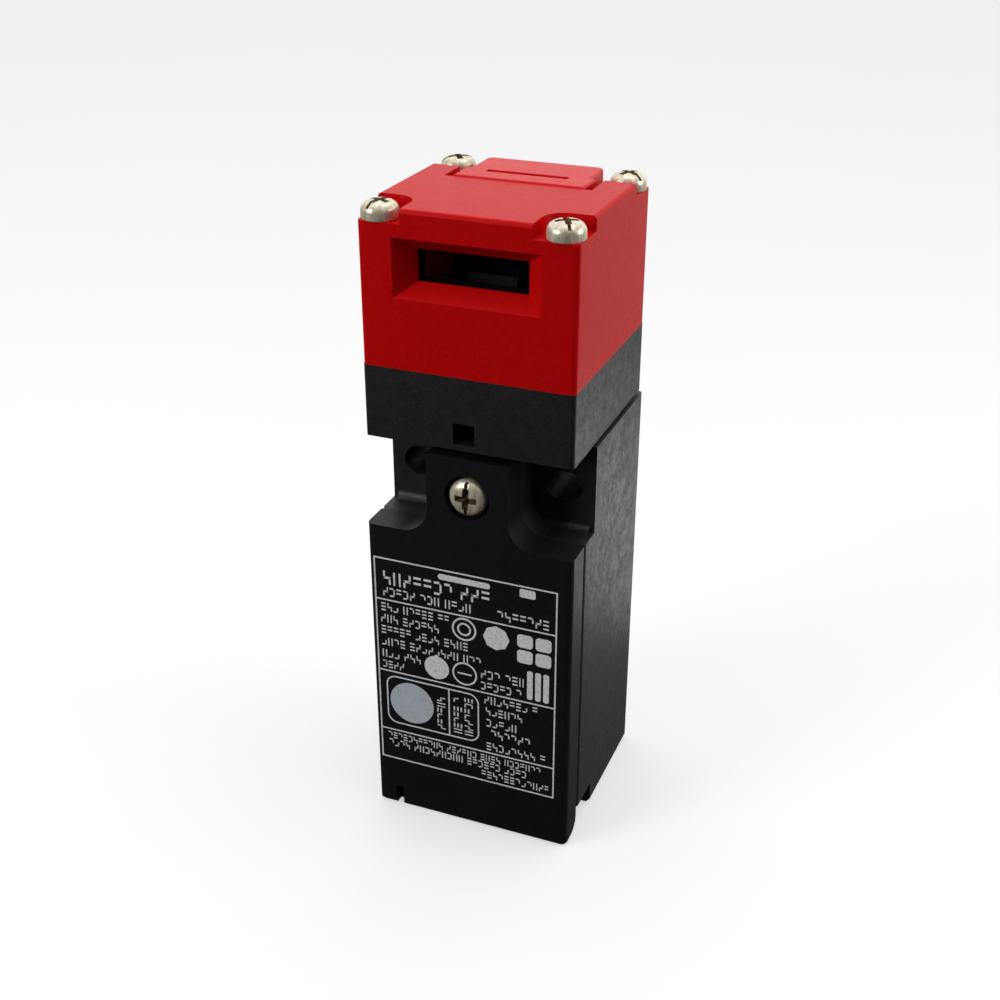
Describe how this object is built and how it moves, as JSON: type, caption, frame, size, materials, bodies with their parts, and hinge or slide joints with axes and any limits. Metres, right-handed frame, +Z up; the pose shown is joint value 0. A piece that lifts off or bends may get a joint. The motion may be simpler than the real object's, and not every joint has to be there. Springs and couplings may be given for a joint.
{
  "type": "limit switch",
  "caption": "Key-operated safety-door limit switch: red key head with front and top key slots on a slim black case with a hinged wiring cover, slotted mounting holes and a conduit entry.",
  "frame": {"origin": "centre of the bounding box's footprint, at the bottom face of the case", "axes": "+Z up from the conduit entry to the key head; the front key slot and wiring cover face -Y, the mounting face is +Y, +X is to the right seen from the front"},
  "size_m": [0.03, 0.03, 0.0924],
  "materials": {
    "black_plastic": "fine moulded grain, glass-filled, satin",
    "base_plastic": "fine moulded grain, satin",
    "red_plastic": "satin moulded",
    "cap_plastic": "satin moulded, slightly lighter than the head",
    "cam_plastic": "smooth acetal",
    "block_plastic": "matt moulded thermoset",
    "nylon": "natural",
    "rubber": "soft black rubber",
    "nickel_steel": "nickel plated, slightly worn",
    "bright_steel": "ground steel",
    "spring_steel": "drawn wire",
    "silver": "silver-faced copper alloy",
    "brass": "stamped brass"
  },
  "bodies": {
    "housing": {"case": "black_plastic", "hinge_pins": "bright_steel", "threaded_insert": "brass", "head_gasket": "rubber", "head_base": "base_plastic", "head_base_screws": "nickel_steel", "head_cover": "red_plastic", "key_guide": "cam_plastic", "head_screws": "nickel_steel", "cam_shaft": "bright_steel", "plunger_spring": "spring_steel", "plunger_seal": "rubber", "switch_block": "block_plastic", "switch_block_back": "block_plastic", "switch_block_screws": "nickel_steel", "nc_fixed_contacts": "brass", "no_fixed_contacts": "brass", "clamp_washers": "nickel_steel", "terminal_screws": "nickel_steel", "return_spring": "spring_steel"},
    "cover": {"cover": "black_plastic", "cover_gasket": "rubber", "cover_screw": "nickel_steel", "screw_retainer": "nylon"},
    "slot_cap": {"slot_cap": "cap_plastic"},
    "cam": {"cam": "cam_plastic"},
    "plunger": {"head_plunger": "nylon"},
    "carrier": {"contact_carrier": "nylon", "nc_bridge": "silver", "no_bridge": "silver", "contact_springs": "spring_steel"}
  },
  "joints": [
    {"name": "cover_hinge", "type": "hinge", "parent": "housing", "child": "cover", "pos_m": [0, -0.0065, 0.00175], "axis": [1, 0, 0], "range_deg": [0, 95]},
    {"name": "cap_pull", "type": "slide", "parent": "housing", "child": "slot_cap", "axis": [0, 0, 1], "range_m": [0, 0.01]},
    {"name": "cam_turn", "type": "hinge", "parent": "housing", "child": "cam", "pos_m": [0, 0.00125, 0.07845], "axis": [-1, 0, 0], "range_deg": [0, 45]},
    {"name": "plunger_slide", "type": "slide", "parent": "housing", "child": "plunger", "axis": [0, 0, 1], "range_m": [0, 0.0022], "deforming": ["plunger_spring"]},
    {"name": "carrier_slide", "type": "slide", "parent": "housing", "child": "carrier", "axis": [0, 0, 1], "range_m": [0, 0.0022], "deforming": ["return_spring"]}
  ],
  "couplings": [
    {"joint": "plunger_slide", "follows": "carrier_slide", "ratio": 1},
    {"joint": "cam_turn", "follows": "carrier_slide", "rad_per_m": 356.99}
  ]
}
